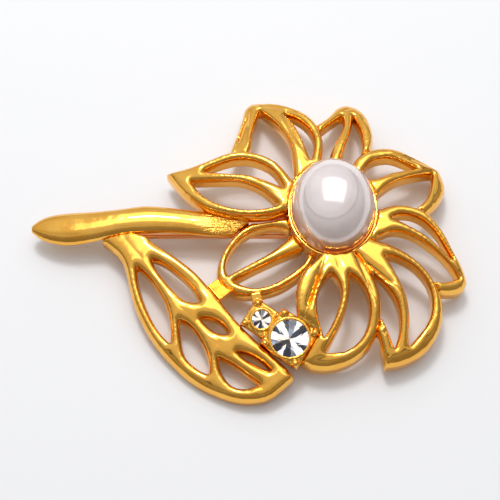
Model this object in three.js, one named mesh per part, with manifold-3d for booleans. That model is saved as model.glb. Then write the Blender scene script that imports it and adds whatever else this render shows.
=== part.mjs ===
// A flower brooch: eight openwork petals round an imitation pearl, a stem, an openwork leaf and two
// square-set rhinestones, with a hinged pin and a turning safety catch on the back.
// Millimetres. The brooch lies face up: +X runs along the pin from stem to flower, +Z is out of its face.
// The drawing frame has its origin on the table under the middle of the pearl. At the end the whole
// brooch is moved so that the origin is the bottom centre of its bounding box.
import * as THREE from "three";
import { mergeVertices } from "three/addons/utils/BufferGeometryUtils.js";
import Module from "manifold-3d";

const wasm = await Module();
wasm.setup();

// ---------- Driving sizes ----------
const SOLDER_GAP = 0.08; // between two cast pieces that meet
const GLUE_GAP = 0.05; // between a stone, its glue and what holds it
const RUNNING_GAP = 0.06; // round a shaft that turns

const PEARL_WIDTH = 13.5;
const PEARL_LENGTH = 16.2;
const PEARL_DOME = 7;
const PEARL_BASE = 6.2; // height of the pearl's flat back
const SEAT_RIM = 0.45; // how far the seat shows round the pearl
const SEAT_LIP = 0.15; // how far the seat's lip stands above the pearl's back
const SEAT_THICKNESS = 3;
const PEARL_GLUE = 0.25;

const PETAL_THICKNESS = 2.9;
const LOW_PETAL_THICKNESS = 2.7;
const LEAF_THICKNESS = 2.4;
const CROWN_WIDTH = 0.34; // the rounded shoulder of every cast bar
const CROWN_HEIGHT = 0.4;
const BACK_EDGE = 0.08; // the small relief on the flat back
const CROSS_CURVE = 0.012; // how quickly a blade drops away from its middle line

const LARGE_STONE_RADIUS = 2.9;
const SMALL_STONE_RADIUS = 1.45;
const SETTING_WALL = 0.42; // metal round a stone's girdle
const LARGE_SHOULDER = 0.04; // between that wall and the flat sides of the square
const SMALL_SHOULDER = 0.46;
const SETTING_LAP = 0.39; // how far the large square covers the small one
const SETTING_FLOOR = 0.5;
const STONE_GLUE = 0.3; // between the stone's point and the cup's floor
const SETTING_TURN = 12; // degrees that the squares' corners are turned from the axes
const SETTING_LEAN = 14; // degrees that both stones lean towards -Y

const PIN_HEIGHT = 0.85; // the pin's middle above the drawing frame's table
const PIN_Y = -2.4;
const PIN_RADIUS = 0.46;
const PIN_TAPER = 6;
const PIN_PAST_CATCH = 1.6; // how far the point runs past the catch
const HINGE_FROM_SPRAY = -28.4; // along X
const KNUCKLE_RADIUS = 0.7;
const KNUCKLE_WIDTH = 1.1;
const RIVET_RADIUS = 0.28;
const RIVET_HEAD_RADIUS = 0.55;
const RIVET_HEAD = 0.25;
const EAR_THICKNESS = 0.4;
const HINGE_PAD_THICKNESS = 0.5;
const HINGE_PAD_LENGTH = 4.4;

const CATCH_X = 1.2;
const CATCH_RADIUS = 1.6; // half the housing's width, and the axis's height over its feet
const FOOT_CHAMFER = 0.2;
const CATCH_SLOT = 1.2; // the mouth that the pin drops into
const CATCH_PAD_THICKNESS = 0.5;
const CATCH_PAD_EDGE = 0.35; // how far the pad shows round the cheeks
const CHEEK_THICKNESS = 0.9;
const CHEEK_SPACING = 0.9; // between the two cheeks, where the thumb lever turns
const BARREL_RADIUS = 1;
const BARREL_BORE = 0.58;
const BARREL_SLOT = 1.08;
const BARREL_OVERHANG = 0.3; // how far the barrel shows past each cheek
const LEVER_REACH = 2.1;
const LEVER_THICKNESS = 0.5;

// ---------- Finishes ----------
const polishedGold = new THREE.MeshStandardMaterial({ color: 0xd79a33, roughness: 0.16, metalness: 1 });
const copperGold = new THREE.MeshStandardMaterial({ color: 0xc98a5c, roughness: 0.22, metalness: 1 });
const pearlCoat = new THREE.MeshStandardMaterial({ color: 0xe6dcd8, roughness: 0.2, metalness: 0 });
const clearGlass = new THREE.MeshStandardMaterial({ color: 0xf4f6fa, roughness: 0.02, metalness: 0 });
const clearGlue = new THREE.MeshStandardMaterial({ color: 0xd8cdb2, roughness: 0.4, metalness: 0 });

// ---------- Solids ----------
const SHADOW_DEPTH = 60; // more than any piece is high
const degrees = THREE.MathUtils.degToRad;

function toSolid(geometry) {
  const bare = geometry.clone();
  bare.deleteAttribute("normal");
  bare.deleteAttribute("uv");
  const merged = mergeVertices(bare, 1e-4);
  return new wasm.Manifold(
    new wasm.Mesh({
      numProp: 3,
      vertProperties: merged.attributes.position.array,
      triVerts: new Uint32Array(merged.index.array),
    }),
  );
}

function toGeometry(solid) {
  const mesh = solid.getMesh();
  const geometry = new THREE.BufferGeometry();
  geometry.setAttribute("position", new THREE.BufferAttribute(mesh.vertProperties, 3));
  geometry.setIndex(new THREE.BufferAttribute(mesh.triVerts, 1));
  geometry.computeVertexNormals();
  return geometry;
}

const cut = (geometry, ...cutters) =>
  toGeometry(cutters.reduce((solid, cutter) => solid.subtract(toSolid(cutter)), toSolid(geometry)));

const join = (...geometries) =>
  toGeometry(geometries.map(toSolid).reduce((solid, other) => solid.add(other)));

// A cut can leave slivers beyond the cutter: the piece itself is the largest solid.
function largest(geometry) {
  const solids = toSolid(geometry).decompose();
  solids.sort((a, b) => b.volume() - a.volume());
  return toGeometry(solids[0]);
}

function piece(name, geometry, material) {
  const mesh = new THREE.Mesh(geometry, material);
  mesh.name = name;
  return mesh;
}

// ---------- Blades: the petals and the leaf ----------
// A blade is a cast openwork plate. It is drawn flat as (along, across) from its root, with across
// positive on the left of someone looking from root to tip. An opening runs from heel to toe.
// The upper face then follows height = root + rise u - fall u^2 + tilt across - CROSS_CURVE across^2,
// where u is the share of the length that lies behind the point and root is from the pearl's back.
const vectors = (points) => points.map(([x, y]) => new THREE.Vector2(x, y));

// The hole runs anticlockwise, against its blade's clockwise outline.
function openingPath({ heel, left, toe, right }) {
  const path = new THREE.Path();
  path.moveTo(...heel);
  path.splineThru(vectors([...right, toe]));
  path.splineThru(vectors([...left.toReversed(), heel]));
  return path;
}

function bladeOutline(blade) {
  const shape = new THREE.Shape();
  shape.moveTo(...blade.leftEdge[0]);
  shape.splineThru(vectors([...blade.leftEdge.slice(1), blade.tip]));
  shape.splineThru(vectors(blade.rightEdge.toReversed()));
  return shape;
}

function upperFace(blade, along, across) {
  const share = along / blade.tip[0];
  const { root, rise, fall, tilt = 0 } = blade;
  const base = PEARL_BASE + root;
  return base + rise * share - fall * share * share + tilt * across - CROSS_CURVE * across * across;
}

function bladeGeometry(blade) {
  const shape = bladeOutline(blade);
  shape.holes = blade.openings.map(openingPath);
  const wall = blade.thickness - CROWN_HEIGHT;
  const geometry = new THREE.ExtrudeGeometry(shape, {
    depth: wall,
    curveSegments: 2,
    bevelThickness: CROWN_HEIGHT,
    bevelSize: CROWN_WIDTH,
    bevelOffset: -CROWN_WIDTH,
    bevelSegments: 2,
  });
  const place = geometry.attributes.position;
  for (let i = 0; i < place.count; i += 1) {
    const along = place.getX(i);
    const across = place.getY(i);
    const level = place.getZ(i);
    const flatBack = level < 0 ? (level * BACK_EDGE) / CROWN_HEIGHT : level;
    place.setZ(i, upperFace(blade, along, across) + flatBack - blade.thickness);
  }
  return settle(blade, geometry);
}

// The space under and over an outline, a solder gap larger all round: it trims what laps under it.
function shadowOf(outline) {
  const geometry = new THREE.ExtrudeGeometry(outline, {
    depth: SHADOW_DEPTH,
    curveSegments: 2,
    bevelThickness: 0.01,
    bevelSize: SOLDER_GAP,
    bevelSegments: 1,
  });
  return geometry.translate(0, 0, -SHADOW_DEPTH / 2);
}

const bladeShadow = (blade) => settle(blade, shadowOf(bladeOutline(blade)));

function settle(blade, geometry) {
  geometry.rotateZ(degrees(blade.bearing));
  geometry.translate(blade.at[0], blade.at[1], 0);
  return geometry;
}

// ---------- The pearl and its seat ----------
const SEAT_HALF = [PEARL_WIDTH / 2 + SEAT_RIM, PEARL_LENGTH / 2 + SEAT_RIM];
const SEAT_TOP = PEARL_BASE + SEAT_LIP;
const SEAT_BOTTOM = SEAT_TOP - SEAT_THICKNESS;

// A turned profile of radius 1, made oval by its two half widths.
function oval(profile, [halfWidth, halfLength], sides) {
  const geometry = new THREE.LatheGeometry(vectors(profile), sides);
  geometry.rotateX(degrees(90));
  geometry.scale(halfWidth, halfLength, 1);
  return geometry;
}

function disc(half, from, to, sides) {
  return oval([[0, from], [1, from], [1, to], [0, to]], half, sides);
}

function pearl() {
  const half = [PEARL_WIDTH / 2, PEARL_LENGTH / 2];
  const profile = [[0, PEARL_BASE]];
  const steps = 8;
  for (let i = 0; i <= steps; i += 1) {
    const turn = (i / steps) * degrees(90);
    const radius = i === steps ? 0 : Math.cos(turn) ** 0.9;
    profile.push([radius, PEARL_BASE + PEARL_DOME * Math.sin(turn)]);
  }
  return piece("pearl", oval(profile, half, 32), pearlCoat);
}

function pearlSeat() {
  const well = [PEARL_WIDTH / 2 + GLUE_GAP, PEARL_LENGTH / 2 + GLUE_GAP];
  const floor = PEARL_BASE - PEARL_GLUE - 2 * GLUE_GAP;
  const body = disc(SEAT_HALF, SEAT_BOTTOM, SEAT_TOP, 32);
  return piece("pearl_seat", cut(body, disc(well, floor, SEAT_TOP + 1, 32)), polishedGold);
}

function pearlCement() {
  const half = [PEARL_WIDTH / 2 - 0.4, PEARL_LENGTH / 2 - 0.4];
  const top = PEARL_BASE - GLUE_GAP;
  return piece("pearl_cement", disc(half, top - PEARL_GLUE, top, 24), clearGlue);
}

function seatShadow() {
  const half = [SEAT_HALF[0] + SOLDER_GAP, SEAT_HALF[1] + SOLDER_GAP];
  return disc(half, -SHADOW_DEPTH / 2, SHADOW_DEPTH / 2, 32);
}

// Where a line from the pearl's middle at this bearing leaves the seat.
function seatEdge(bearing) {
  const turn = degrees(bearing);
  const [halfWidth, halfLength] = SEAT_HALF;
  const reach = 1 / Math.hypot(Math.cos(turn) / halfWidth, Math.sin(turn) / halfLength);
  return [reach * Math.cos(turn), reach * Math.sin(turn)];
}

// ---------- The petals ----------
// Bearings run anticlockwise from +X. The edges of a petal that laps under its neighbour run on
// below the neighbour, where the neighbour's shadow trims them.
const PETALS = {
  petal_left: {
    bearing: 164, root: 1.1, rise: 1.6, fall: 5, thickness: PETAL_THICKNESS,
    leftEdge: [[-2, 1], [0.4, 3.1], [3, 4.5], [6, 5.3], [9.5, 5.6], [12.7, 5.2], [16, 3.7], [18.8, 1.6]],
    tip: [20.6, 0],
    rightEdge: [[-2, -1], [2.6, -4.8], [5.4, -6], [8.7, -6.2], [11.6, -5.3], [14.6, -3.1], [17.3, -1.4]],
    openings: [
      { heel: [1, -1], left: [[4, -1.5], [7, -1.8], [11, -1.3]], toe: [14.9, -1],
        right: [[3, -3.3], [5.4, -4.5], [9, -4.7], [12.2, -3.1]] },
      { heel: [1, 2.1], left: [[3.4, 3.5], [6.8, 4.4], [10.5, 4.2], [13.8, 3]], toe: [16.2, 0.9],
        right: [[3, 0.8], [5.6, -0.2], [8.7, -0.5], [12.2, 0.2]] },
    ],
  },
  petal_upper_left: {
    bearing: 119, root: 0.5, rise: 1.2, fall: 5.2, thickness: PETAL_THICKNESS,
    leftEdge: [[-2, 3], [1, 6], [5, 9], [8, 9.8], [9.7, 8.8], [12.1, 6.2], [14.8, 3.7], [16.6, 2.3]],
    tip: [17.2, 0.8],
    rightEdge: [[-2, -1.5], [0.4, -2.9], [2.9, -4.7], [6.3, -5.8], [9.6, -5.5], [12.5, -4.1], [15, -2.2]],
    openings: [
      { heel: [-0.8, 2.8], left: [[2, 5], [5.4, 7.5], [7.4, 6.9], [8.8, 5.5], [11, 4]], toe: [14.9, 0.4],
        right: [[2.1, 1.3], [5.2, 0], [8.1, -0.4], [11.6, -0.1]] },
      { heel: [0.9, -1.3], left: [[3.5, -1.8], [6, -2.3], [8.9, -2.6]], toe: [12, -2.4],
        right: [[2.6, -2.9], [4.6, -4], [7.1, -4.3], [9.8, -3.7]] },
    ],
  },
  petal_top: {
    bearing: 82, root: -0.1, rise: 0.8, fall: 4.4, thickness: PETAL_THICKNESS,
    leftEdge: [[-2, 3], [0, 4.6], [3, 5.9], [6, 5.5], [8, 3.7], [10, 2.3], [12.3, 1.3]],
    tip: [13.4, -0.2],
    rightEdge: [[-2, -2.5], [1, -4.2], [3.5, -4.9], [6.6, -5.1], [10.5, -3.9], [12.7, -2.3]],
    openings: [
      { heel: [-0.2, 1.5], left: [[1.5, 3.4], [4, 4.3], [6.4, 3.4], [8.3, 2]], toe: [10.5, 0.3],
        right: [[2.6, 1.2], [5.7, 0.3], [8.1, -0.2]] },
      { heel: [-0.4, -0.5], left: [[2.5, -0.6], [5.9, -1.2], [8.9, -1.4]], toe: [11, -1.4],
        right: [[0.6, -2.6], [2.8, -3.7], [5.9, -3.4], [8.3, -2.7]] },
    ],
  },
  petal_upper_right: {
    bearing: 25, root: 0.4, rise: 1.2, fall: 5, thickness: PETAL_THICKNESS,
    leftEdge: [[-2, 4], [-0.2, 6.3], [1.7, 7.1], [4.4, 7], [7, 6], [9.1, 4], [11.2, 1.8]],
    tip: [12.7, 0.3],
    rightEdge: [[-2, -5], [0.7, -6.5], [3.6, -7], [6.4, -6.6], [9.4, -5.3], [11.9, -3]],
    openings: [
      { heel: [-0.8, 2.8], left: [[0.3, 4.3], [2.4, 5.2], [5.2, 4.8], [7, 3.4]], toe: [9, 1.3],
        right: [[1.5, 1.8], [4, 1.8], [6.2, 1.6]] },
      { heel: [-1, -2], left: [[0, -1], [1.7, -0.3], [4.3, 0.2], [7.1, 0.2]], toe: [11.2, 0],
        right: [[1.6, -5], [4.6, -5.4], [7.4, -4.3], [9.3, -2.6]] },
    ],
  },
  petal_right: {
    bearing: -28, root: 0.8, rise: 1.4, fall: 5, thickness: PETAL_THICKNESS,
    leftEdge: [[-2, 1.5], [0.4, 4.5], [2.9, 6], [6.2, 6.4], [9.7, 4.9], [12.6, 2.8], [14.8, 1.4]],
    tip: [16.4, -0.2],
    rightEdge: [[-2, -2], [1, -4], [4, -4.7], [9, -5.2], [13, -4.5], [15.4, -3], [16.4, -1.6]],
    openings: [
      { heel: [1.4, 2.7], left: [[2.7, 4.2], [5, 5], [8, 4.5], [10.8, 3]], toe: [13.5, 1.4],
        right: [[4.7, 2.8], [8.3, 2.6], [11.2, 1.9]] },
      { heel: [0.9, -1.4], left: [[2.6, 0.7], [5.2, 1.6], [8.6, 1.5], [12.2, 0.8]], toe: [15.1, -0.5],
        right: [[3, -3.3], [7, -3.8], [10.8, -3.6], [13.4, -2.5]] },
    ],
  },
  petal_lower_right: {
    bearing: -74, root: 1.1, rise: 1.5, fall: 5.2, thickness: PETAL_THICKNESS,
    leftEdge: [[-2, 3], [0.1, 6.5], [2.6, 9.1], [5.5, 10.9], [9, 11.8], [12.3, 11.4], [15.3, 9.6],
      [17.5, 6.6], [18.3, 3]],
    tip: [18.1, 0.2],
    rightEdge: [[-2, -1], [5, -0.2], [10, 0.1], [13.8, 0.5], [15.9, 0.3]],
    openings: [
      { heel: [1.7, 5.2], left: [[2.5, 7.1], [4.6, 9.2], [7.5, 10.5], [10.5, 10.3], [13.5, 8.6]],
        toe: [16.3, 4.5], right: [[5, 5.9], [8.5, 6.4], [11.9, 5.9], [14.3, 5]] },
      { heel: [4, 2.5], left: [[6.3, 3.8], [9.3, 4.7], [12.1, 4.4], [14.4, 3.5]], toe: [16.2, 2.2],
        right: [[7.6, 1.6], [10.6, 1.5], [13, 1.9]] },
    ],
  },
  petal_bottom: {
    bearing: -103, root: 1.4, rise: 1.7, fall: 5.2, thickness: PETAL_THICKNESS,
    leftEdge: [[-2, 4.3], [1.1, 7.7], [4, 9.7], [6.3, 10.5], [9.3, 10.8], [12.7, 9.9], [15.2, 7.9],
      [16.9, 5], [17.4, 2.2]],
    tip: [16.8, 0],
    rightEdge: [[-2, 1], [1.3, -0.6], [3.8, -2.2], [6.8, -2.6], [10, -1.8], [12.8, -0.8], [14.8, -0.3]],
    openings: [
      { heel: [2.2, 4.6], left: [[3, 6.5], [5, 8.2], [8.1, 9.1], [11.2, 8.8], [13.9, 6.8]], toe: [15, 3.6],
        right: [[5.6, 5.3], [9.1, 5.2], [12, 4.5]] },
      { heel: [2.8, 2], left: [[4.1, 3.4], [6.1, 4.2], [8.5, 4.2], [10.8, 3.8]], toe: [13, 3],
        right: [[5.3, 0.8], [8, 0.7], [10.5, 1.6]] },
    ],
  },
  petal_lower_left: {
    bearing: -145, root: -1.2, rise: 0.2, fall: 1.6, thickness: LOW_PETAL_THICKNESS,
    leftEdge: [[-2, 3.5], [0.4, 5.2], [3.2, 5.9], [6.8, 5.8], [9.9, 4.7], [12.5, 2.8]],
    tip: [13.9, 0.2],
    rightEdge: [[-2.5, -4], [1.9, -5.7], [5.6, -6.2], [9, -5.4], [12, -3.6], [13.6, -1.7]],
    openings: [
      { heel: [-0.6, -0.5], left: [[4.2, 0], [8.3, -0.4]], toe: [12.1, -0.9],
        right: [[0.8, -2.9], [3.3, -4.4], [6.5, -4.9], [9.8, -3.9], [11.6, -2.3]] },
      { heel: [-0.6, 2.6], left: [[0.5, 4.2], [3.4, 4.7], [7, 4.5], [10.1, 3.2]], toe: [12, 0.3],
        right: [[4.2, 1.6], [8.2, 0.9]] },
    ],
  },
};
for (const blade of Object.values(PETALS)) blade.at = seatEdge(blade.bearing);

// ---------- The spray: stem, leaf, link and settings ----------
// Its places are given from the root of the low petal that it is soldered to.
const SPRAY = PETALS.petal_lower_left.at;
const fromSpray = ([x, y]) => [SPRAY[0] + x, SPRAY[1] + y];

const LEAF = {
  at: fromSpray([-25.8, -0.2]), bearing: -42, root: -1.5, rise: 0.9, fall: 2.2, tilt: 0.14,
  thickness: LEAF_THICKNESS,
  leftEdge: [[-3.5, -0.4], [-1, 0.5], [1.7, 1.7], [4.5, 2], [8, 2.4], [11.6, 2.5], [14.8, 2.1], [18.3, 1.5],
    [22.2, 0.9], [27, 0.6], [32, 0.6]],
  tip: [34.1, 0.2],
  rightEdge: [[-3.5, -3.2], [0, -3.1], [2.5, -4], [4.9, -5.6], [8.2, -7.6], [12.4, -9.2], [15.8, -9.9],
    [19, -10.2], [22, -10.2], [25, -9.7], [27.8, -8.8], [30.1, -7.7], [32, -6.1], [33.4, -4]],
  openings: [
    { heel: [3.6, -2.7], left: [[5.8, -2.7], [8.6, -3.2], [11.4, -4.1], [14.4, -6.1]], toe: [16.2, -8.2],
      right: [[6.1, -4.8], [9.5, -6.6], [13.1, -7.9]] },
    { heel: [4.6, -0.3], left: [[6.6, 0.4], [9.8, 0.6], [12.9, 0.4]], toe: [15.5, -0.5],
      right: [[6.4, -1.1], [9, -1.6], [11.4, -1.9], [13.6, -1.8]] },
    { heel: [14.6, -4.7], left: [[16.7, -4.2], [19.9, -4.9], [22.6, -6.3]], toe: [23.9, -7.8],
      right: [[16.9, -6.7], [19.3, -8.2], [21.9, -8.3]] },
    { heel: [16.9, -2.4], left: [[18.5, -1.2], [20.5, -0.8]], toe: [22.2, -1.3],
      right: [[18.6, -2.6], [20.6, -2.4]] },
    { heel: [24.6, -2.5], left: [[26.7, -1.5], [28.9, -1.1]], toe: [31.2, -1.2],
      right: [[26.4, -2.6], [28.8, -2.1]] },
    { heel: [23.1, -5], left: [[25.6, -4.3], [28.6, -4]], toe: [31, -3.8],
      right: [[25, -6.3], [27.6, -6.8], [29.6, -5.8]] },
  ],
};

// Each station of the stem: the middle line, the half width, and the crown above and belly below it.
const STEM = [
  { x: -42.1, y: 2.3, z: 2.6, half: 0.5, crown: 0.4, belly: 0.4 },
  { x: -40.8, y: 2.3, z: 2.6, half: 1.6, crown: 1, belly: 0.9 },
  { x: -38.8, y: 2.2, z: 2.7, half: 2.4, crown: 1.6, belly: 1.2 },
  { x: -35.8, y: 2.1, z: 2.9, half: 2.8, crown: 1.8, belly: 1.3 },
  { x: -31.8, y: 2.3, z: 3.5, half: 2.6, crown: 1.6, belly: 1 },
  { x: -27.8, y: 2.8, z: 4, half: 2.3, crown: 1.5, belly: 0.9 },
  { x: -23.8, y: 3.2, z: 4.1, half: 2.4, crown: 1.5, belly: 0.9 },
  { x: -19.8, y: 3.1, z: 4.1, half: 2.2, crown: 1.4, belly: 0.9 },
  { x: -16.3, y: 2.8, z: 4, half: 2.1, crown: 1.3, belly: 0.9 },
  { x: -12.3, y: 2.4, z: 3.9, half: 2.1, crown: 1.1, belly: 0.8 },
  { x: -8.8, y: 2.5, z: 3.9, half: 1.9, crown: 1, belly: 0.7 },
  { x: -6, y: 2.7, z: 3.9, half: 1.3, crown: 0.8, belly: 0.6 },
];
const STEM_SIDES = 16;
const STEM_RINGS = 24;

// The stem's section at this share of its length, on smooth curves through the stations.
function stemSection(share) {
  const section = {};
  for (const key of Object.keys(STEM[0])) {
    const curve = new THREE.SplineCurve(STEM.map((station, i) => new THREE.Vector2(i, station[key])));
    section[key] = curve.getPoint(share).y;
  }
  [section.x, section.y] = fromSpray([section.x, section.y]);
  return section;
}

const STEM_SECTIONS = Array.from({ length: STEM_RINGS + 1 }, (_, i) => stemSection(i / STEM_RINGS));

// A closed cylinder whose rings are moved to the sections: its caps close the two ends.
function stemGeometry() {
  const geometry = new THREE.CylinderGeometry(1, 1, 1, STEM_SIDES, STEM_RINGS);
  const place = geometry.attributes.position;
  for (let i = 0; i < place.count; i += 1) {
    const section = STEM_SECTIONS[Math.round((place.getY(i) + 0.5) * STEM_RINGS)];
    const side = place.getX(i);
    const up = place.getZ(i);
    const depth = up > 0 ? section.crown : section.belly;
    place.setXYZ(i, section.x, section.y - side * section.half, section.z + up * depth);
  }
  return geometry;
}

// The space under and over the stem, a solder gap larger all round.
function stemShadow() {
  const left = STEM_SECTIONS.map(({ x, y, half }) => [x, y + half]);
  const right = STEM_SECTIONS.map(({ x, y, half }) => [x, y - half]);
  return shadowOf(new THREE.Shape(vectors([...left, ...right.toReversed()])));
}

// The ribbed link between the leaf's edge and the low petal's end. Its ribs run along its length.
const LINK = {
  at: fromSpray([-11.7, -8.7]), bearing: -50, length: 3, width: 2.6,
  bottom: 2.3, top: 4, ribs: 6, ribHeight: 0.3,
};

function linkGeometry() {
  const { at, bearing, length, width, bottom, top, ribs, ribHeight } = LINK;
  const pitch = width / ribs;
  const shape = new THREE.Shape();
  shape.moveTo(-width / 2, bottom);
  shape.lineTo(width / 2, bottom);
  shape.lineTo(width / 2, top);
  for (let i = 0; i < ribs; i += 1) {
    const right = width / 2 - i * pitch;
    shape.quadraticCurveTo(right - pitch / 2, top + 2 * ribHeight, right - pitch, top);
  }
  const geometry = new THREE.ExtrudeGeometry(shape, { depth: length, bevelEnabled: false, curveSegments: 4 });
  geometry.translate(0, 0, -length / 2);
  geometry.rotateX(degrees(90));
  geometry.rotateZ(degrees(90 + bearing));
  geometry.translate(...at, 0);
  return geometry;
}

// ---------- Stones and their square settings ----------
// Both are drawn upright with the stone's girdle at height 0, then turned, leaned and put in place.
const LARGE_HALF = LARGE_STONE_RADIUS + SETTING_WALL + LARGE_SHOULDER; // half the width of each square
const SMALL_HALF = SMALL_STONE_RADIUS + SETTING_WALL + SMALL_SHOULDER;
const LARGE_AT = [...fromSpray([-0.9, -17.2]), 4.8];

// The small square is laid against the large one's side, and trimmed by it.
function besideLarge(bearing, height) {
  const apart = LARGE_HALF + SMALL_HALF - SETTING_LAP;
  const turn = degrees(bearing);
  return [LARGE_AT[0] + apart * Math.cos(turn), LARGE_AT[1] + apart * Math.sin(turn), height];
}

const SETTINGS = {
  small: { at: besideLarge(144.2, 4.7), stone: SMALL_STONE_RADIUS, corner: Math.SQRT2 * SMALL_HALF, bead: 0.5,
    lug: 1 },
  large: { at: LARGE_AT, stone: LARGE_STONE_RADIUS, corner: Math.SQRT2 * LARGE_HALF, bead: 0.6, lug: 0 },
};
const PAVILION = 0.6; // depth of the stone below its girdle, as a share of its radius
const STONE_CROWN = 0.34; // height above it
const TABLE = 0.52; // radius of the flat table
const GIRDLE = 0.04; // half the girdle's thickness
const CORNERS = [0, 90, 180, 270].map((turn) => [Math.cos(degrees(turn)), Math.sin(degrees(turn))]);

const cupDepth = (stone) => PAVILION * stone + STONE_GLUE;

function turned(profile, sides) {
  const geometry = new THREE.LatheGeometry(vectors(profile), sides);
  geometry.rotateX(degrees(90));
  return geometry;
}

function stand(geometry, setting) {
  geometry.rotateZ(degrees(SETTING_TURN));
  geometry.rotateX(degrees(SETTING_LEAN));
  geometry.translate(...setting.at);
  return geometry;
}

function settingSquare({ corner }) {
  return new THREE.Shape(vectors(CORNERS.map(([x, y]) => [x * corner, y * corner])));
}

// The small setting has a lug that reaches from its upper corner to the low petal's rim.
function settingGeometry(setting) {
  const { stone, corner, bead, lug } = setting;
  const depth = cupDepth(stone) + SETTING_FLOOR;
  const edge = 0.25;
  const block = new THREE.ExtrudeGeometry(settingSquare(setting), {
    depth: depth - edge, bevelThickness: edge, bevelSize: edge, bevelOffset: -edge, bevelSegments: 2,
  });
  block.scale(1, 1, depth / (depth + edge));
  block.translate(0, 0, (edge * depth) / (depth + edge) - depth);
  const collar = stone + SETTING_WALL;
  const bezel = turned([[0, -1], [collar, -1], [collar, 0.15], [stone + 0.15, 0.3], [0, 0.3]], 24);
  const beads = CORNERS.map(([x, y]) => {
    const reach = corner - Math.SQRT2 * bead;
    return new THREE.SphereGeometry(bead, 8, 6).translate(x * reach, y * reach, 0);
  });
  const web = lug > 0 ? [box([-0.75, corner - 1.4, -1.6], [0.75, corner + lug, -0.3])] : [];
  const cup = stone + GLUE_GAP;
  const hollow = turned([[0, -cupDepth(stone)], [cup, -cupDepth(stone)], [cup, 1], [0, 1]], 24);
  return stand(cut(join(block, bezel, ...beads, ...web), hollow), setting);
}

function settingShadow(setting) {
  return stand(shadowOf(settingSquare(setting)), setting);
}

function stoneGeometry(setting) {
  const { stone } = setting;
  const profile = [[0, -PAVILION], [1, -GIRDLE], [1, GIRDLE], [TABLE, STONE_CROWN], [0, STONE_CROWN]];
  return stand(turned(profile.map(([radius, level]) => [radius * stone, level * stone]), 16), setting);
}

// The glue fills the cup under the stone's cone.
function stoneCement(setting) {
  const { stone } = setting;
  const floor = GLUE_GAP - cupDepth(stone);
  const radius = stone - GLUE_GAP;
  const rim = -GIRDLE * stone - 4 * GLUE_GAP;
  const point = -PAVILION * stone - 2 * GLUE_GAP;
  return stand(turned([[0, floor], [radius, floor], [radius, rim], [0, point]], 16), setting);
}

// ---------- The hinge and the pin ----------
const HINGE_X = fromSpray([HINGE_FROM_SPRAY, 0])[0];
const EAR_OFFSET = KNUCKLE_WIDTH / 2 + RUNNING_GAP;
const CATCH_LENGTH = 2 * CHEEK_THICKNESS + CHEEK_SPACING;
const PIN_TIP_X = CATCH_X + CATCH_LENGTH / 2 + PIN_PAST_CATCH;

// The lowest point of the stem over the hinge's pad.
function stemUnderside(from, to) {
  const over = STEM_SECTIONS.filter(({ x }) => x > from - 1 && x < to + 1);
  return Math.min(...over.map(({ z, belly }) => z - belly));
}

function box(from, to) {
  const size = to.map((high, i) => high - from[i]);
  const middle = to.map((high, i) => (high + from[i]) / 2);
  return new THREE.BoxGeometry(...size).translate(...middle);
}

function plate(shape, depth) {
  return new THREE.ExtrudeGeometry(shape, { depth, bevelEnabled: false, curveSegments: 12 });
}

// A flat shape drawn in (X, Z), given a thickness along Y from one side to the other.
function platedAlongY(shape, from, to) {
  const geometry = plate(shape, to - from);
  geometry.rotateX(degrees(90));
  geometry.translate(0, to, 0);
  return geometry;
}

// A flat shape drawn in (Y, Z), given a length along X from one end to the other.
function platedAlongX(shape, from, to) {
  const geometry = plate(shape, to - from);
  geometry.rotateY(degrees(90));
  geometry.rotateX(degrees(90));
  geometry.translate(from, 0, 0);
  return geometry;
}

function hingeBase() {
  const ends = [HINGE_X - HINGE_PAD_LENGTH / 2, HINGE_X + HINGE_PAD_LENGTH / 2];
  const top = stemUnderside(...ends) - SOLDER_GAP;
  const side = EAR_OFFSET + EAR_THICKNESS;
  const pad = box([ends[0], PIN_Y - side, top - HINGE_PAD_THICKNESS], [ends[1], PIN_Y + side, top]);
  const ear = new THREE.Shape();
  ear.moveTo(HINGE_X + KNUCKLE_RADIUS, top - HINGE_PAD_THICKNESS / 2);
  ear.lineTo(HINGE_X - KNUCKLE_RADIUS, top - HINGE_PAD_THICKNESS / 2);
  ear.lineTo(HINGE_X - KNUCKLE_RADIUS, PIN_HEIGHT);
  ear.absarc(HINGE_X, PIN_HEIGHT, KNUCKLE_RADIUS, Math.PI, 2 * Math.PI);
  ear.holes = [new THREE.Path().absarc(HINGE_X, PIN_HEIGHT, RIVET_RADIUS + RUNNING_GAP, 0, 2 * Math.PI)];
  const ears = [
    platedAlongY(ear, PIN_Y - side, PIN_Y - EAR_OFFSET),
    platedAlongY(ear, PIN_Y + EAR_OFFSET, PIN_Y + side),
  ];
  return join(pad, ...ears);
}

function hingeRivet() {
  const half = EAR_OFFSET + EAR_THICKNESS + GLUE_GAP;
  const end = half + RIVET_HEAD;
  const head = RIVET_HEAD_RADIUS;
  const shank = RIVET_RADIUS;
  const profile = [[0, -end], [head, -end], [head, -half], [shank, -half], [shank, half], [head, half],
    [head, end], [0, end]];
  return new THREE.LatheGeometry(vectors(profile), 16).translate(HINGE_X, PIN_Y, PIN_HEIGHT);
}

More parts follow.
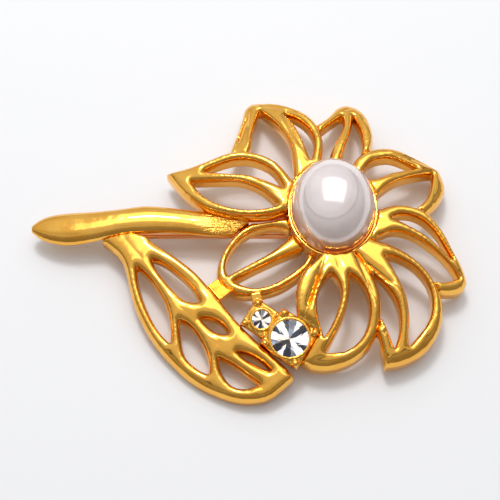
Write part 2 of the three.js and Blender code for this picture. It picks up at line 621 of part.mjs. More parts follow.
function pinStem() {
  const knuckle = new THREE.Shape();
  knuckle.absarc(HINGE_X, PIN_HEIGHT, KNUCKLE_RADIUS, 0, 2 * Math.PI);
  const eye = new THREE.Shape();
  eye.absarc(HINGE_X, PIN_HEIGHT, RIVET_RADIUS + RUNNING_GAP, 0, 2 * Math.PI);
  const start = HINGE_X + KNUCKLE_RADIUS / 2;
  const profile = [[0, start], [PIN_RADIUS, start], [PIN_RADIUS, PIN_TIP_X - PIN_TAPER],
    [PIN_RADIUS * 0.6, PIN_TIP_X - PIN_TAPER / 3], [0, PIN_TIP_X]];
  const wire = new THREE.LatheGeometry(vectors(profile), 12);
  wire.rotateZ(degrees(-90));
  wire.translate(0, PIN_Y, PIN_HEIGHT);
  const half = KNUCKLE_WIDTH / 2;
  const solid = join(platedAlongY(knuckle, PIN_Y - half, PIN_Y + half), wire);
  return cut(solid, platedAlongY(eye, PIN_Y - 1, PIN_Y + 1));
}

// ---------- The safety catch ----------
const SLOT_DOWN = -Math.PI / 2;

// Part of an outline: a bore left open by a slot that points down.
function boreWithSlot(shape, radius, slot) {
  const half = Math.asin(slot / 2 / radius);
  shape.absarc(PIN_Y, PIN_HEIGHT, radius, SLOT_DOWN - half, SLOT_DOWN + half, true);
}

function catchHousing() {
  const side = CATCH_RADIUS;
  const foot = PIN_HEIGHT - CATCH_RADIUS;
  const top = SEAT_BOTTOM - SOLDER_GAP;
  const cheek = new THREE.Shape();
  cheek.moveTo(PIN_Y + CATCH_SLOT / 2, foot);
  cheek.lineTo(PIN_Y + side - FOOT_CHAMFER, foot);
  cheek.lineTo(PIN_Y + side, foot + FOOT_CHAMFER);
  cheek.lineTo(PIN_Y + side, top - CATCH_PAD_THICKNESS / 2);
  cheek.lineTo(PIN_Y - side, top - CATCH_PAD_THICKNESS / 2);
  cheek.lineTo(PIN_Y - side, foot + FOOT_CHAMFER);
  cheek.lineTo(PIN_Y - side + FOOT_CHAMFER, foot);
  cheek.lineTo(PIN_Y - CATCH_SLOT / 2, foot);
  boreWithSlot(cheek, BARREL_RADIUS + RUNNING_GAP, CATCH_SLOT);
  const start = CATCH_X - CATCH_LENGTH / 2;
  const end = CATCH_X + CATCH_LENGTH / 2;
  const edge = CATCH_PAD_EDGE;
  const under = top - CATCH_PAD_THICKNESS;
  return join(
    box([start - edge, PIN_Y - side - edge, under], [end + edge, PIN_Y + side + edge, top]),
    platedAlongX(cheek, start, start + CHEEK_THICKNESS),
    platedAlongX(cheek, end - CHEEK_THICKNESS, end),
  );
}

function catchBarrel() {
  const half = Math.asin(BARREL_SLOT / 2 / BARREL_RADIUS);
  const ring = new THREE.Shape();
  ring.absarc(PIN_Y, PIN_HEIGHT, BARREL_RADIUS, SLOT_DOWN + half, SLOT_DOWN - half + 2 * Math.PI);
  boreWithSlot(ring, BARREL_BORE, BARREL_SLOT);
  const reach = CATCH_LENGTH / 2 + BARREL_OVERHANG;
  const tube = platedAlongX(ring, CATCH_X - reach, CATCH_X + reach);
  const leverHalf = CHEEK_SPACING / 2 - RUNNING_GAP;
  const thin = LEVER_THICKNESS / 2;
  const lever = box(
    [CATCH_X - leverHalf, PIN_Y + (BARREL_BORE + BARREL_RADIUS) / 2, PIN_HEIGHT - thin],
    [CATCH_X + leverHalf, PIN_Y + LEVER_REACH, PIN_HEIGHT + thin],
  );
  return join(tube, lever);
}

// ---------- The assembly ----------
const shadows = {
  seat: seatShadow(),
  stem: stemShadow(),
  leaf: bladeShadow(LEAF),
  smallSetting: settingShadow(SETTINGS.small),
  largeSetting: settingShadow(SETTINGS.large),
};
for (const [name, blade] of Object.entries(PETALS)) shadows[name] = bladeShadow(blade);

// What laps over each piece and so trims it.
const LAPS = {
  petal_left: ["seat"],
  petal_upper_left: ["seat", "petal_left"],
  petal_top: ["seat", "petal_upper_left", "petal_upper_right"],
  petal_upper_right: ["seat", "petal_right"],
  petal_right: ["seat", "petal_lower_right"],
  petal_lower_right: ["seat", "petal_bottom"],
  petal_bottom: ["seat", "largeSetting"],
  petal_lower_left: ["seat", "petal_left", "petal_bottom", "smallSetting", "largeSetting"],
};
const STEM_LAPS = ["seat", "petal_left", "petal_lower_left"];
const lapped = (geometry, laps) => largest(cut(geometry, ...laps.map((name) => shadows[name])));

const spray = new THREE.Group();
for (const [name, blade] of Object.entries(PETALS)) {
  spray.add(piece(name, lapped(bladeGeometry(blade), LAPS[name]), polishedGold));
}
spray.add(pearlSeat(), pearlCement(), pearl());
spray.add(piece("stem", lapped(stemGeometry(), STEM_LAPS), polishedGold));
spray.add(piece("leaf", lapped(bladeGeometry(LEAF), ["stem"]), polishedGold));
spray.add(piece("leaf_link", lapped(linkGeometry(), ["leaf", "petal_lower_left"]), polishedGold));
for (const [size, setting] of Object.entries(SETTINGS)) {
  const laps = size === "small" ? ["leaf", "largeSetting", "petal_lower_left"] : ["leaf"];
  spray.add(piece(`${size}_stone_setting`, lapped(settingGeometry(setting), laps), polishedGold));
  spray.add(piece(`${size}_stone_cement`, stoneCement(setting), clearGlue));
  spray.add(piece(`${size}_rhinestone`, stoneGeometry(setting), clearGlass));
}
spray.add(piece("hinge_base", hingeBase(), polishedGold));
spray.add(piece("hinge_rivet", hingeRivet(), polishedGold));
spray.add(piece("pin_stem", pinStem(), copperGold));
spray.add(piece("catch_housing", catchHousing(), polishedGold));
spray.add(piece("catch_barrel", catchBarrel(), polishedGold));

// The part's origin is the bottom centre of its bounding box.
const bounds = new THREE.Box3().setFromObject(spray);
const middle = bounds.getCenter(new THREE.Vector3());
spray.position.set(-middle.x, -middle.y, -bounds.min.z);

const group = new THREE.Group();
group.add(spray);

export default group;
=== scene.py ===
# %% [markdown]
# # A flower brooch in polished gold plate
#
# The brooch is eight openwork petals round an oval pearl, with a stem, an openwork leaf and two round
# stones. Its solids come from the shared frame, so every piece here starts from a solid that is already
# in the right place. This lesson gives each piece the surface that casting, plating and polishing give
# it.

# %% Load the frame
import math

import bmesh
import bpy
from mathutils import Matrix, Vector
from mathutils.kdtree import KDTree


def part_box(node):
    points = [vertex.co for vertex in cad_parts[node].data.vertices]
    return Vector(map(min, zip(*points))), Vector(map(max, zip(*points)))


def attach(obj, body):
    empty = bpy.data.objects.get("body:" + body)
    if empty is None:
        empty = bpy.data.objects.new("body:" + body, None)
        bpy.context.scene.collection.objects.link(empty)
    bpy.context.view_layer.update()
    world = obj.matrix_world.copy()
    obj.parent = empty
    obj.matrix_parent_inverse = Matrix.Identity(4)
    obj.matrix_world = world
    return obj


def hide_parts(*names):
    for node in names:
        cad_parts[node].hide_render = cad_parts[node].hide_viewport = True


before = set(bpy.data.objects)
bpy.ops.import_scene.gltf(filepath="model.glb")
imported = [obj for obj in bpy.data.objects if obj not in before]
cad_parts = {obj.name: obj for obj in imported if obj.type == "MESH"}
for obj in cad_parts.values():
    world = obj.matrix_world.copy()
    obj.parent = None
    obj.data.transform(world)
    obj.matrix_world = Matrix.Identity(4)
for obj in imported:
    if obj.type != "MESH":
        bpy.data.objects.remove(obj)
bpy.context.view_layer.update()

MM = 0.001
MM_PER_METRE = 1000

# %% [markdown]
# ## Writing shaders as sums
#
# A material is a graph of nodes. Drawing each Math node by hand hides the idea behind it, so a small
# class wraps an output socket and lets ordinary Python operators add the nodes. Everything that is not
# arithmetic goes through one method, which sets a node's options first and then its inputs.

# %% A socket that can be used in arithmetic
MIX_COLOUR = 2  # the colour output of a Mix node
OBJECT_PLACE = 3  # the object coordinates of a Texture Coordinate node


class Wire:
    """An output socket: + - * on it add Math nodes."""

    def __init__(self, finish, socket):
        self.finish = finish
        self.socket = socket

    def __add__(self, other):
        return self.finish.math("ADD", self, other)

    def __sub__(self, other):
        return self.finish.math("SUBTRACT", self, other)

    def __rsub__(self, other):
        return self.finish.math("SUBTRACT", other, self)

    def __mul__(self, other):
        return self.finish.math("MULTIPLY", self, other)

    __radd__ = __add__
    __rmul__ = __mul__


class Finish:
    """A material, or a world, and the short methods that add its nodes."""

    def __init__(self, name, owner=None):
        self.material = owner or bpy.data.materials.new(name)
        self.material.use_nodes = True
        self.tree = self.material.node_tree
        self.tree.nodes.clear()

    def node(self, kind, settings=None, inputs=None, output=0):
        node = self.tree.nodes.new(kind)
        for key, value in (settings or {}).items():
            if key == "stops":
                self.set_stops(node.color_ramp, value)
            else:
                setattr(node, key, value)
        for key, value in (inputs or {}).items():
            if isinstance(value, Wire):
                self.tree.links.new(value.socket, node.inputs[key])
            else:
                node.inputs[key].default_value = value
        return Wire(self, node.outputs[output]) if node.outputs else node

    def set_stops(self, ramp, stops):
        ends = (ramp.elements[0], ramp.elements[-1])
        for element, (place, colour) in zip(ends, (stops[0], stops[-1])):
            element.position = place
            element.color = colour
        for place, colour in stops[1:-1]:
            ramp.elements.new(place).color = colour

    def math(self, operation, *values):
        return self.node("ShaderNodeMath", {"operation": operation}, dict(enumerate(values)))

    def mix(self, share, first, second):
        """A colour between two colours."""
        return self.node("ShaderNodeMix", {"data_type": "RGBA"}, {0: share, 6: first, 7: second}, MIX_COLOUR)

    def millimetres(self, stretch=(1, 1, 1)):
        """Object coordinates in millimetres, so that a scale of 1 is one feature per millimetre."""
        place = self.node("ShaderNodeTexCoord", output=OBJECT_PLACE)
        scale = tuple(MM_PER_METRE * part for part in stretch)
        return self.node("ShaderNodeVectorMath", {"operation": "MULTIPLY"}, {0: place, 1: scale})

    def noise(self, scale, detail=2.0, roughness=0.5, stretch=(1, 1, 1)):
        """Cloudy noise from 0 to 1 with this many features per millimetre."""
        inputs = {"Vector": self.millimetres(stretch), "Scale": scale, "Detail": detail}
        inputs["Roughness"] = roughness
        return self.node("ShaderNodeTexNoise", None, inputs)

    def between(self, value, low, high):
        """0 below low, 1 above high, and smooth in between."""
        settings = {"interpolation_type": "SMOOTHSTEP"}
        return self.node("ShaderNodeMapRange", settings, {0: value, 1: low, 2: high})

    def bump(self, height, depth_mm, over=None):
        """Relief of this depth in millimetres."""
        inputs = {"Height": height, "Distance": depth_mm * MM, "Strength": 1.0}
        if over:
            inputs["Normal"] = over
        return self.node("ShaderNodeBump", None, inputs)

    def surface(self, **sockets):
        """The Principled shader and the material's output. Underscores stand for spaces."""
        named = {key.replace("_", " "): value for key, value in sockets.items()}
        shader = self.node("ShaderNodeBsdfPrincipled", None, named)
        self.node("ShaderNodeOutputMaterial", None, {"Surface": shader})
        return self.material


# %% [markdown]
# ## The gold
#
# Gold plate over a polished casting is almost a mirror, tinted deep yellow. A perfect mirror looks false,
# though. Hand polishing leaves the surface very slightly wavy, so a highlight swims along a bar. Fine
# hairlines and a thin haze vary the gloss, and the plate is a little redder where the polishing mop did
# not reach.

# %% Polished gold
DULL_GOLD = (0.93, 0.47, 0.075, 1)
BRIGHT_GOLD = (0.97, 0.53, 0.1, 1)
CLEANEST_ROUGHNESS = 0.09
HAZE_ROUGHNESS = 0.07
HAIRLINE_ROUGHNESS = 0.03
FILED_ROUGHNESS = 0.1
WAVE_DEPTH = 0.06  # millimetres
FILE_DEPTH = 0.3  # millimetres


def gold(name, tooled=None):
    """Polished plate. tooled is a function that gives a mask for filed, unpolished metal."""
    finish = Finish(name)
    haze = finish.noise(0.35, 3)
    hairlines = finish.noise(3.0, 2, stretch=(0.3, 2.2, 1))
    waves = finish.noise(0.4, 1.5)
    colour = finish.mix(finish.between(haze, 0.35, 0.7), DULL_GOLD, BRIGHT_GOLD)
    hazy = finish.between(haze, 0.4, 0.75)
    roughness = CLEANEST_ROUGHNESS + HAZE_ROUGHNESS * hazy + HAIRLINE_ROUGHNESS * hairlines
    normal = finish.bump(waves, WAVE_DEPTH)
    if tooled:
        mask = tooled(finish)
        file_marks = finish.noise(1.6, 4, 0.65, stretch=(0.12, 1.6, 1))
        roughness = roughness + mask * FILED_ROUGHNESS
        normal = finish.bump(mask * file_marks, FILE_DEPTH, normal)
    return finish.surface(Base_Color=colour, Metallic=1.0, Roughness=roughness, Normal=normal)


POLISHED_GOLD = gold("polished_gold")
print("made", POLISHED_GOLD.name)

# %% [markdown]
# ## Cast pieces
#
# Each frame solid has the right outline, but its edges are cut with straight facets. A real casting has
# none: the wax was carved round, and polishing wore it rounder. So a copy of the solid is merged, wrapped
# in an even skin of small squares, swollen a little and smoothed. Smoothing wears the corners and shrinks
# the bars, and the swelling gives the metal back. The work is done in millimetres, because very small
# voxels are refused.

# %% Wrap a frame solid in a smooth skin
WELD = 0.0005  # millimetres between corners that are joined
SEAT_MARGIN = 0.5  # millimetres round the seat that count as beside it
SIDE_SLOPE = 0.5  # a normal with a smaller Z than this is on a side wall
FACE_SLOPE = 0.7  # a normal with a larger Z than this is on the face or the back
THINNEST = 0.2  # millimetres, so that a share of the thickness stays finite


def keep(name, mesh, material, body="root", slot="polished_gold", nodes=()):
    """Makes the finished object, and lets it ride on its body in place of the frame's nodes."""
    mesh.name = name
    if mesh.materials:
        mesh.materials.clear()
    mesh.materials.append(material)
    piece = bpy.data.objects.new(name, mesh)
    bpy.context.scene.collection.objects.link(piece)
    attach(piece, body)
    if nodes:
        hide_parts(*nodes)
    print(name, len(mesh.polygons), "faces")
    return piece


def merged_copy(node):
    """A bmesh of a frame node in millimetres, with its loose triangles joined."""
    solid = bmesh.new()
    solid.from_mesh(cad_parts[node].data)
    bmesh.ops.scale(solid, vec=(MM_PER_METRE, MM_PER_METRE, MM_PER_METRE), verts=solid.verts)
    bmesh.ops.remove_doubles(solid, verts=solid.verts, dist=WELD)
    return solid


def modified(mesh, *steps):
    """A copy of the mesh with these modifiers applied: each is a type and its settings."""
    wax = bpy.data.objects.new("wax", mesh)
    bpy.context.scene.collection.objects.link(wax)
    for kind, settings in steps:
        step = wax.modifiers.new(kind.lower(), kind)
        for key, value in settings.items():
            setattr(step, key, value)
    bpy.context.view_layer.update()
    shaped = wax.evaluated_get(bpy.context.evaluated_depsgraph_get())
    result = bpy.data.meshes.new_from_object(shaped)
    bpy.data.objects.remove(wax)
    bpy.data.meshes.remove(mesh)
    return result


def skin(solid, voxel, rounds):
    """The bmesh wrapped in even squares and smoothed."""
    mesh = bpy.data.meshes.new("wax")
    solid.to_mesh(mesh)
    solid.free()
    wrap = ("REMESH", {"mode": "VOXEL", "voxel_size": voxel})
    return modified(mesh, wrap, ("SMOOTH", {"factor": 0.5, "iterations": rounds}))


def flat_tree(points):
    """A search tree over these points, seen from above."""
    tree = KDTree(len(points))
    for i, point in enumerate(points):
        tree.insert((point.x, point.y, 0), i)
    tree.balance()
    return tree


SEAT_LOW, SEAT_HIGH = (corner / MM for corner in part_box("pearl_seat"))


def beside_seat(place):
    """Whether a point is within the margin of the pearl's oval seat, seen from above."""
    middle = (SEAT_LOW + SEAT_HIGH) / 2
    half = (SEAT_HIGH - SEAT_LOW) / 2
    across = (place.x - middle.x) / (half.x + SEAT_MARGIN)
    along = (place.y - middle.y) / (half.y + SEAT_MARGIN)
    return math.hypot(across, along) < 1


def crown(mesh, shoulder, fall, root):
    """Rounds the face: every bar's edge falls by this much over a shoulder this wide. Roots stay full."""
    facing = [vertex.normal.z for vertex in mesh.vertices]
    places = [vertex.co.copy() for vertex in mesh.vertices]
    sides = [place for place, z in zip(places, facing) if abs(z) < SIDE_SLOPE]
    free_sides = [place for place in sides if not (beside_seat(place) or root(place))]
    walls = flat_tree(free_sides or sides)
    tops = [place for place, z in zip(places, facing) if z > FACE_SLOPE]
    backs = [place for place, z in zip(places, facing) if z < -FACE_SLOPE]
    top_tree = flat_tree(tops)
    back_tree = flat_tree(backs)
    for vertex, place in zip(mesh.vertices, places):
        flat = (place.x, place.y, 0)
        inward = min(walls.find(flat)[2] / shoulder, 1)
        drop = fall * (1 - math.sqrt(1 - (1 - inward) ** 2))
        top = tops[top_tree.find(flat)[1]].z
        back = backs[back_tree.find(flat)[1]].z
        share = min(max((place.z - back) / max(top - back, THINNEST), 0), 1)
        vertex.co.z = place.z - drop * share


def finished(mesh, swell, rounds):
    """Swollen, polished smooth and brought to metres."""
    swelling = ("DISPLACE", {"mid_level": 0, "strength": swell})
    result = modified(mesh, swelling, ("SMOOTH", {"factor": 0.5, "iterations": rounds}))
    result.transform(Matrix.Scale(MM, 4))
    result.shade_smooth()
    return result


def nowhere(place):
    return False


def casting(node, material, voxel=0.15, swell=0.05, rounds=6, shoulder=0, fall=0.8, root=nowhere, **words):
    """A polished casting over one frame node. root tells which of its walls meet another piece."""
    mesh = skin(merged_copy(node), voxel, 2)
    if shoulder:
        crown(mesh, shoulder, fall, root)
    return keep(f"{node}_cast", finished(mesh, swell, rounds), material, nodes=(node,), **words)


# %% The petals
PETALS = [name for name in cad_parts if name.startswith("petal_")]
for petal in PETALS:
    casting(petal, POLISHED_GOLD, shoulder=1.1, swell=0.12)

# %% [markdown]
# ## The leaf, the seat and the ribbed link
#
# The leaf is cast like the petals, but it is flatter and wider, so its shoulder is longer. The seat is an
# oval cup whose thin lip closes round the pearl. The link is a tiny ribbed bridge: a coarse skin would
# fill the valleys between its ribs, so its squares are a third as wide as the petals'.

# %% The leaf, the seat and the link
LEAF_ROOT = -0.5  # beyond this Y, in millimetres, the leaf meets the stem
casting("leaf", POLISHED_GOLD, shoulder=1.3, fall=0.9, swell=0.12, root=lambda place: place.y > LEAF_ROOT)
casting("pearl_seat", POLISHED_GOLD, voxel=0.12, rounds=3, swell=0.02)
casting("leaf_link", POLISHED_GOLD, voxel=0.05, rounds=1, swell=0.03)

# %% [markdown]
# ## The stem
#
# The stem is one solid casting with a fat rounded end. It was polished all over, apart from its inner
# end, which was filed flat where it was soldered under the petals. A mask that rises along the stem adds
# those file marks.

# %% The stem
FILED_FROM = -10  # X in millimetres where the file marks begin
FILED_FULLY = -3


def stem_marks(finish):
    """Filed metal at the stem's inner end, where it was soldered."""
    split = finish.node("ShaderNodeSeparateXYZ", None, {0: finish.millimetres()})
    return finish.between(split, FILED_FROM, FILED_FULLY)


casting("stem", gold("filed_gold", stem_marks), swell=0.04)

# %% [markdown]
# ## The settings and the findings
#
# Each stone's setting is a small cast cup with a bead at every corner. It is polished harder than the
# petals, so it is smoothed for longer, and it is swollen enough for its collar to grip the stone. The
# hinge and the catch are bought findings, stamped from sheet. Their edges are crisp, so their skin is
# fine and hardly smoothed.

# %% The settings and the findings
for setting in ("small_stone_setting", "large_stone_setting"):
    casting(setting, POLISHED_GOLD, voxel=0.09, rounds=9, swell=0.09)
for finding in ("hinge_base", "hinge_rivet", "catch_housing"):
    casting(finding, POLISHED_GOLD, voxel=0.06, rounds=2, swell=0.0)
casting("catch_barrel", POLISHED_GOLD, voxel=0.06, rounds=2, swell=0.0, body="barrel")

# %% [markdown]
# ## The pin wire
#
# The pin is hard drawn wire with a pinker plate than the castings. Drawing leaves streaks along a wire,
# so the noise is stretched along X, which is the pin's length.

# %% Copper-toned gold for the pin wire


def copper_gold():
    """Drawn wire, streaked along its length."""
    finish = Finish("copper_gold")
    streaks = finish.noise(2.0, 2, stretch=(0.1, 2, 2))
    colour = finish.mix(streaks, (0.8, 0.4, 0.2, 1), (0.86, 0.46, 0.25, 1))
    return finish.surface(Base_Color=colour, Metallic=1.0, Roughness=0.16 + 0.1 * streaks)


COPPER_GOLD = copper_gold()
print("made", COPPER_GOLD.name)
casting("pin_stem", COPPER_GOLD, voxel=0.07, rounds=3, swell=0.02, body="pin", slot="copper_gold")

# %% [markdown]
# ## The pearl
#
# The pearl is an oval dome of glass or plastic under many coats of pearl lacquer. Its glow comes from
# thin layers that each reflect a little, so the coat here has a high index, and the colour under it is
# partly metallic. That gives a soft inner reflection of the petals and a sharp one of the window over it.
# The warm tone low on the flank is a painted reflection of the gold petals. The dome is a quarter profile,
# spun.

# %% The pearl
SPLIT_Y = 1  # outputs of a Separate XYZ node
SPLIT_Z = 2
PAINTED_REFLECTION_START = 0.2  # millimetres above the pearl's back where the painted reflection of the gold is full
PAINTED_REFLECTION_LEAN = 0.2  # how much the painted reflection's edge rises towards the viewer
PAINTED_REFLECTION_SHARE = 0.5  # how much of the pearl's height the painted reflection fades over
PROFILE_STEPS = 40
SPIN_STEPS = 96
FLANK_POWER = 0.9  # under 1, so that the flank stands a little fuller than an ellipse
DOME_WELD = 1e-4  # for a dome of radius 1


def pearl_coat():
    """Pearl lacquer: pinkish white, with a warmer tone low on the flank that is a painted reflection of the
    gold.
    """
    finish = Finish("pearl_coat")
    cloud = finish.noise(0.2, 2)
    grain = finish.noise(6.0, 2)
    low, high = (corner.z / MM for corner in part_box("pearl"))
    place = finish.millimetres()
    up = finish.node("ShaderNodeSeparateXYZ", None, {0: place}, SPLIT_Z)
    away = finish.node("ShaderNodeSeparateXYZ", None, {0: place}, SPLIT_Y)
    start = low + PAINTED_REFLECTION_START
    height = finish.between(up + PAINTED_REFLECTION_LEAN * away, start, start + PAINTED_REFLECTION_SHARE * (high - low))
    body = finish.mix(finish.between(cloud, 0.35, 0.65), (0.76, 0.66, 0.66, 1), (0.82, 0.73, 0.71, 1))
    # Painted reflection of the gold petals: peach low on the flank, more on the side towards the viewer
    colour = finish.mix(height, (0.88, 0.5, 0.27, 1), body)
    return finish.surface(
        Base_Color=colour,
        Metallic=0.75 - 0.47 * height,
        Roughness=0.14 + 0.05 * grain,
        Coat_Weight=1.0,
        Coat_Roughness=0.03,
        Coat_IOR=1.9,
        Sheen_Weight=0.15,
        Sheen_Roughness=0.4,
    )


def domed_pearl(node):
    """Half a rounded profile, spun about the pearl's middle and drawn out to its oval."""
    low, high = (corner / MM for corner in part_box(node))
    half = (high - low) / 2
    dome = bmesh.new()
    profile = [dome.verts.new((0, 0, 0))]
    for step in range(PROFILE_STEPS + 1):
        turn = step / PROFILE_STEPS * math.pi / 2
        reach = max(math.cos(turn), 0.0) ** FLANK_POWER
        profile.append(dome.verts.new((reach, 0, math.sin(turn))))
    edges = [dome.edges.new(pair) for pair in zip(profile, profile[1:])]
    spin = {"axis": (0, 0, 1), "cent": (0, 0, 0), "angle": 2 * math.pi, "steps": SPIN_STEPS}
    bmesh.ops.spin(dome, geom=profile + edges, use_merge=True, **spin)
    bmesh.ops.remove_doubles(dome, verts=dome.verts, dist=DOME_WELD)
    bmesh.ops.scale(dome, vec=(half.x, half.y, 2 * half.z), verts=dome.verts)
    middle = (low + half).xy.to_3d() + Vector((0, 0, low.z))
    bmesh.ops.translate(dome, vec=middle, verts=dome.verts)
    bmesh.ops.recalc_face_normals(dome, faces=dome.faces)
    bmesh.ops.scale(dome, vec=(MM, MM, MM), verts=dome.verts)
    mesh = bpy.data.meshes.new("pearl_dome")
    dome.to_mesh(mesh)
    dome.free()
    mesh.shade_smooth()
    return mesh


keep("pearl_dome", domed_pearl("pearl"), pearl_coat(), slot="pearl_coat", nodes=("pearl",))

# %% [markdown]
# ## The stones
#
# Both stones are clear cut glass with silver foil behind, so light that enters comes straight back out. A
# real cutter grinds one flat facet at a time. The code does the same: it starts from a round rod, and
# bisects it with a plane for each facet. Every plane removes what lies outside it, and the hole is filled
# with one flat face. The foil's colour is a painted reflection: foil under a facet that would show the dark
# side of the room is painted dark, so the pavilion's foil is painted bright, grey and dark by turns.

# %% Glass and foil


def clear_glass():
    """Cut glass with a high index."""
    finish = Finish("clear_glass")
    return finish.surface(Base_Color=(1, 1, 1, 1), Roughness=0.0, IOR=1.58, Transmission_Weight=1.0)


def foil(name, colour, painted_glow):
    """Silver foil, its colour a painted reflection. Its glow is painted light: what the stone's many inner
    reflections bring to this facet.
    """
    finish = Finish(name)
    shaded = tuple(0.85 * part for part in colour[:3]) + (1,)
    tint = finish.mix(finish.noise(0.8), colour, shaded)
    # Painted glow: the foil emits its own tint as painted light
    return finish.surface(
        Base_Color=tint, Metallic=1.0, Roughness=0.15, Emission_Color=tint, Emission_Strength=painted_glow,
    )


# %% Cutting a stone. Its lengths are shares of the stone's radius
STONE_LEAN = math.radians(14)
STONE_TURN = math.radians(12)
PAVILION = 0.6
CROWN = 0.34
FACETS = 8  # of each kind round the stone
HALF_STEP = math.pi / FACETS
GIRDLE = 0.04  # half the height of the stone's widest band
MAIN_TILT = math.radians(36)
BREAK_TILT = math.radians(28)
BREAK_REACH = 0.8
BREAK_HEIGHT = 0.2
STEEPER = 1.03  # every second pavilion facet is this much steeper
STONE_FIT = 0.995  # keeps the cut stone just inside its solid
ROD_SIDES = 48
FOILED_SLOPE = -0.3  # a facet that faces down more than this has foil behind it
CUT_TOLERANCE = 1e-5
AXIS = Vector((0, -math.sin(STONE_LEAN), math.cos(STONE_LEAN)))


def seat_of_stone(node):
    """The middle of a stone's girdle, and its radius, in millimetres."""
    corners = [vertex.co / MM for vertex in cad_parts[node].data.vertices]
    levels = [corner.dot(AXIS) for corner in corners]
    radius = (max(levels) - min(levels)) / (PAVILION + CROWN)
    point = min(corners, key=lambda corner: corner.dot(AXIS))
    return point + AXIS * PAVILION * radius, radius


def grind(stone, turn, tilt, reach, height, up):
    """Grinds one flat facet that passes through a point at this reach and height."""
    direction = Vector((math.cos(turn), math.sin(turn), 0))
    normal = direction * math.sin(tilt) + Vector((0, 0, up * math.cos(tilt)))
    point = direction * reach + Vector((0, 0, height))
    everything = stone.verts[:] + stone.edges[:] + stone.faces[:]
    plane = {"plane_co": point, "plane_no": normal, "dist": CUT_TOLERANCE}
    cut = bmesh.ops.bisect_plane(stone, geom=everything, clear_outer=True, **plane)
    edge = [item for item in cut["geom_cut"] if isinstance(item, bmesh.types.BMEdge)]
    if len(edge) > 2:
        bmesh.ops.contextual_create(stone, geom=edge)


def cut_stone(node):
    """A rod ground to a table, a crown and a pavilion, then set in its place."""
    centre, radius = seat_of_stone(node)
    stone = bmesh.new()
    bmesh.ops.create_cone(stone, cap_ends=True, segments=ROD_SIDES, radius1=1, radius2=1, depth=2)
    grind(stone, 0, 0, 0, CROWN, 1)
    for i in range(FACETS):
        turn = i * 2 * math.pi / FACETS
        grind(stone, turn, MAIN_TILT, 1, GIRDLE, 1)
        grind(stone, turn + HALF_STEP, BREAK_TILT, BREAK_REACH, BREAK_HEIGHT, 1)
        grind(stone, turn + HALF_STEP, math.atan(PAVILION), 1, -GIRDLE, -1)
        grind(stone, turn, math.atan(PAVILION) * STEEPER, 1, -GIRDLE, -1)
    bmesh.ops.recalc_face_normals(stone, faces=stone.faces)
    # Painted reflection: each pavilion facet gets bright, grey or dark foil by a fixed pattern
    for face in stone.faces:
        middle = face.calc_center_median()
        wedge = round(math.atan2(middle.y, middle.x) / HALF_STEP) % len(PAINTED_REFLECTION_PATTERN)
        face.material_index = PAINTED_REFLECTION_PATTERN[wedge] if face.normal.z < FOILED_SLOPE else 0
    place = Matrix.Translation(centre)
    place = place @ Matrix.Rotation(STONE_LEAN, 4, "X") @ Matrix.Rotation(STONE_TURN, 4, "Z")
    whole = Matrix.Scale(MM, 4) @ place @ Matrix.Scale(radius * STONE_FIT, 4)
    bmesh.ops.transform(stone, matrix=whole, verts=stone.verts)
    mesh = bpy.data.meshes.new("stone")
    stone.to_mesh(mesh)
    stone.free()
    return mesh


# %% Both stones
GLASS = clear_glass()
# Painted reflections: the bright, dark and grey foils stand in for the room seen through the facets
PAINTED_REFLECTION_FOILS = (
    foil("foil_painted_bright", (0.92, 0.95, 1, 1), 0.75),
    foil("foil_painted_dark", (0.07, 0.08, 0.12, 1), 0.3),
    foil("foil_painted_grey", (0.4, 0.45, 0.55, 1), 0.4),
)
PAINTED_REFLECTION_PATTERN = (1, 2, 1, 3, 2, 1, 2, 1, 3, 2, 1, 2, 3, 1, 2, 1)
for stone_node in ("small_rhinestone", "large_rhinestone"):
    cut = cut_stone(stone_node)
    stone_piece = keep(f"{stone_node}_cut", cut, GLASS, slot="clear_glass", nodes=(stone_node,))
    for backing in PAINTED_REFLECTION_FOILS:
        stone_piece.data.materials.append(backing)
    facets = stone_piece.data.polygons
    print("facets", len(facets), "material indices", {face.material_index for face in facets})

# %% [markdown]
# ## The glue
#
# Clear glue sits behind the pearl and behind each stone. Its solids have the right shape already, so they
# stay and only get a material.

# %% The glue


def glue():
    """Set clear glue, slightly uneven."""
    finish = Finish("clear_glue")
    return finish.surface(Base_Color=(0.7, 0.65, 0.5, 1), Roughness=0.3 + 0.1 * finish.noise(1.0))


GLUE = glue()
for glue_node in ("pearl_cement", "small_stone_cement", "large_stone_cement"):
    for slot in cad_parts[glue_node].material_slots:
        slot.material = GLUE
        print(glue_node, "is glue")

# %% [markdown]
# ## The table and the light
#
# Polished gold has no look of its own: it shows the room. So the room matters more than any material. The
# brooch lies on a matt white table under a large soft box and a small lamp, which give the pale
# highlights. The rest of the room is a gradient by direction, pale above and behind, and darker and
# warmer in front, which gives the deep orange sides.

# %% The table
TABLE_HALF = 2  # metres
TABLE_DROP = 0.08 * MM  # keeps the catch's feet from showing through the sheet
BACKFACING = 6  # this output of a Geometry node is 1 on the back of a face


def table_top():
    """Matt white from above. The back of the sheet is clear, so the brooch can be looked at from below."""
    finish = Finish("table_top")
    white = finish.node("ShaderNodeBsdfDiffuse", None, {"Color": (0.84, 0.845, 0.86, 1)})
    clear = finish.node("ShaderNodeBsdfTransparent")
    behind = finish.node("ShaderNodeNewGeometry", output=BACKFACING)
    both = finish.node("ShaderNodeMixShader", None, {0: behind, 1: white, 2: clear})
    finish.node("ShaderNodeOutputMaterial", None, {"Surface": both})
    return finish.material


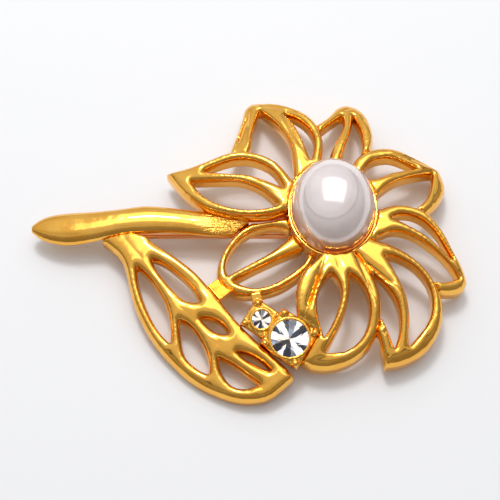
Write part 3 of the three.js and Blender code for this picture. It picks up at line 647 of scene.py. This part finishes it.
def add_table():
    """A square sheet just under the brooch, which isn't part of it."""
    plane = bmesh.new()
    bmesh.ops.create_grid(plane, x_segments=1, y_segments=1, size=TABLE_HALF)
    bmesh.ops.translate(plane, vec=(0, 0, -TABLE_DROP), verts=plane.verts)
    mesh = bpy.data.meshes.new("table")
    plane.to_mesh(mesh)
    plane.free()
    mesh.materials.append(table_top())
    table = bpy.data.objects.new("table", mesh)
    bpy.context.scene.collection.objects.link(table)
    print("table", 2 * TABLE_HALF, "m wide")


add_table()

# %% The lights


def soft_box(name, place, target, size, power, colour=(1, 1, 1)):
    """A rectangular light turned towards its target. Metres and watts."""
    lamp = bpy.data.lights.new(name, "AREA")
    lamp.shape = "RECTANGLE"
    lamp.size, lamp.size_y = size
    lamp.energy = power
    lamp.color = colour
    box = bpy.data.objects.new(name, lamp)
    box.location = place
    box.rotation_euler = (Vector(target) - Vector(place)).to_track_quat("-Z", "Y").to_euler()
    bpy.context.scene.collection.objects.link(box)
    print(name, size, "m,", power, "W")


MIDDLE = (0, 0, 0)
soft_box("window", (0.02, 0.19, 0.41), MIDDLE, size=(0.4, 0.36), power=0.55, colour=(0.98, 0.99, 1))
soft_box("lamp", (-0.04, 0.18, 0.38), MIDDLE, size=(0.09, 0.09), power=0.6)

# %% The room
ROOM_UP = Vector((-0.15, 0.5, 0.85)).normalized()
DARK_BAND = (0.1, 0.09, 0.08, 1)
ROOM_STOPS = [
    (0, (0.28, 0.26, 0.24, 1)),
    (0.35, (0.46, 0.44, 0.42, 1)),
    (0.37, DARK_BAND),
    (0.43, DARK_BAND),
    (0.45, (0.66, 0.65, 0.63, 1)),
    (0.64, (0.58, 0.57, 0.55, 1)),
    (0.67, (0.72, 0.72, 0.73, 1)),
    (1, (0.84, 0.86, 0.9, 1)),
]


def room():
    """A plain room, paler along ROOM_UP and warmer away from it, with one narrow dark band."""
    world = bpy.data.worlds.new("room")
    world.use_nodes = True
    sky = Finish("room", world)
    direction = sky.node("ShaderNodeTexCoord")
    dot = {"operation": "DOT_PRODUCT"}
    height = sky.node("ShaderNodeVectorMath", dot, {0: direction, 1: ROOM_UP}, 1)
    shade = sky.node("ShaderNodeValToRGB", {"stops": ROOM_STOPS}, {0: height})
    glow = sky.node("ShaderNodeBackground", None, {"Color": shade})
    sky.node("ShaderNodeOutputWorld", None, {"Surface": glow})
    bpy.context.scene.world = world
    print("room with", len(ROOM_STOPS), "stops")


room()
bpy.context.scene.view_settings.view_transform = "Standard"

# %% [markdown]
# ## The camera
#
# The camera looks down at the brooch from in front, 65 degrees above the table, with a long lens.

# %% The camera
ELEVATION = math.radians(65)
AIM = Vector((0.517, -1.509, 3.75)) * MM
DISTANCE = 0.18  # metres
LENS = 81.29  # millimetres
NEAR = 0.01  # metres
camera_data = bpy.data.cameras.new("camera")
camera_data.lens = LENS
camera_data.clip_start = NEAR
camera = bpy.data.objects.new("camera", camera_data)
camera.location = AIM + DISTANCE * Vector((0, -math.cos(ELEVATION), math.sin(ELEVATION)))
camera.rotation_euler = (math.pi / 2 - ELEVATION, 0, 0)
bpy.context.scene.collection.objects.link(camera)
bpy.context.scene.camera = camera
print("camera at", [round(part, 4) for part in camera.location])

# %% [markdown]
# ## Bringing the scene up to date
#
# The last line brings the scene up to date, so that every piece sits in its place.

# %% Bring the scene up to date
bpy.context.view_layer.update()
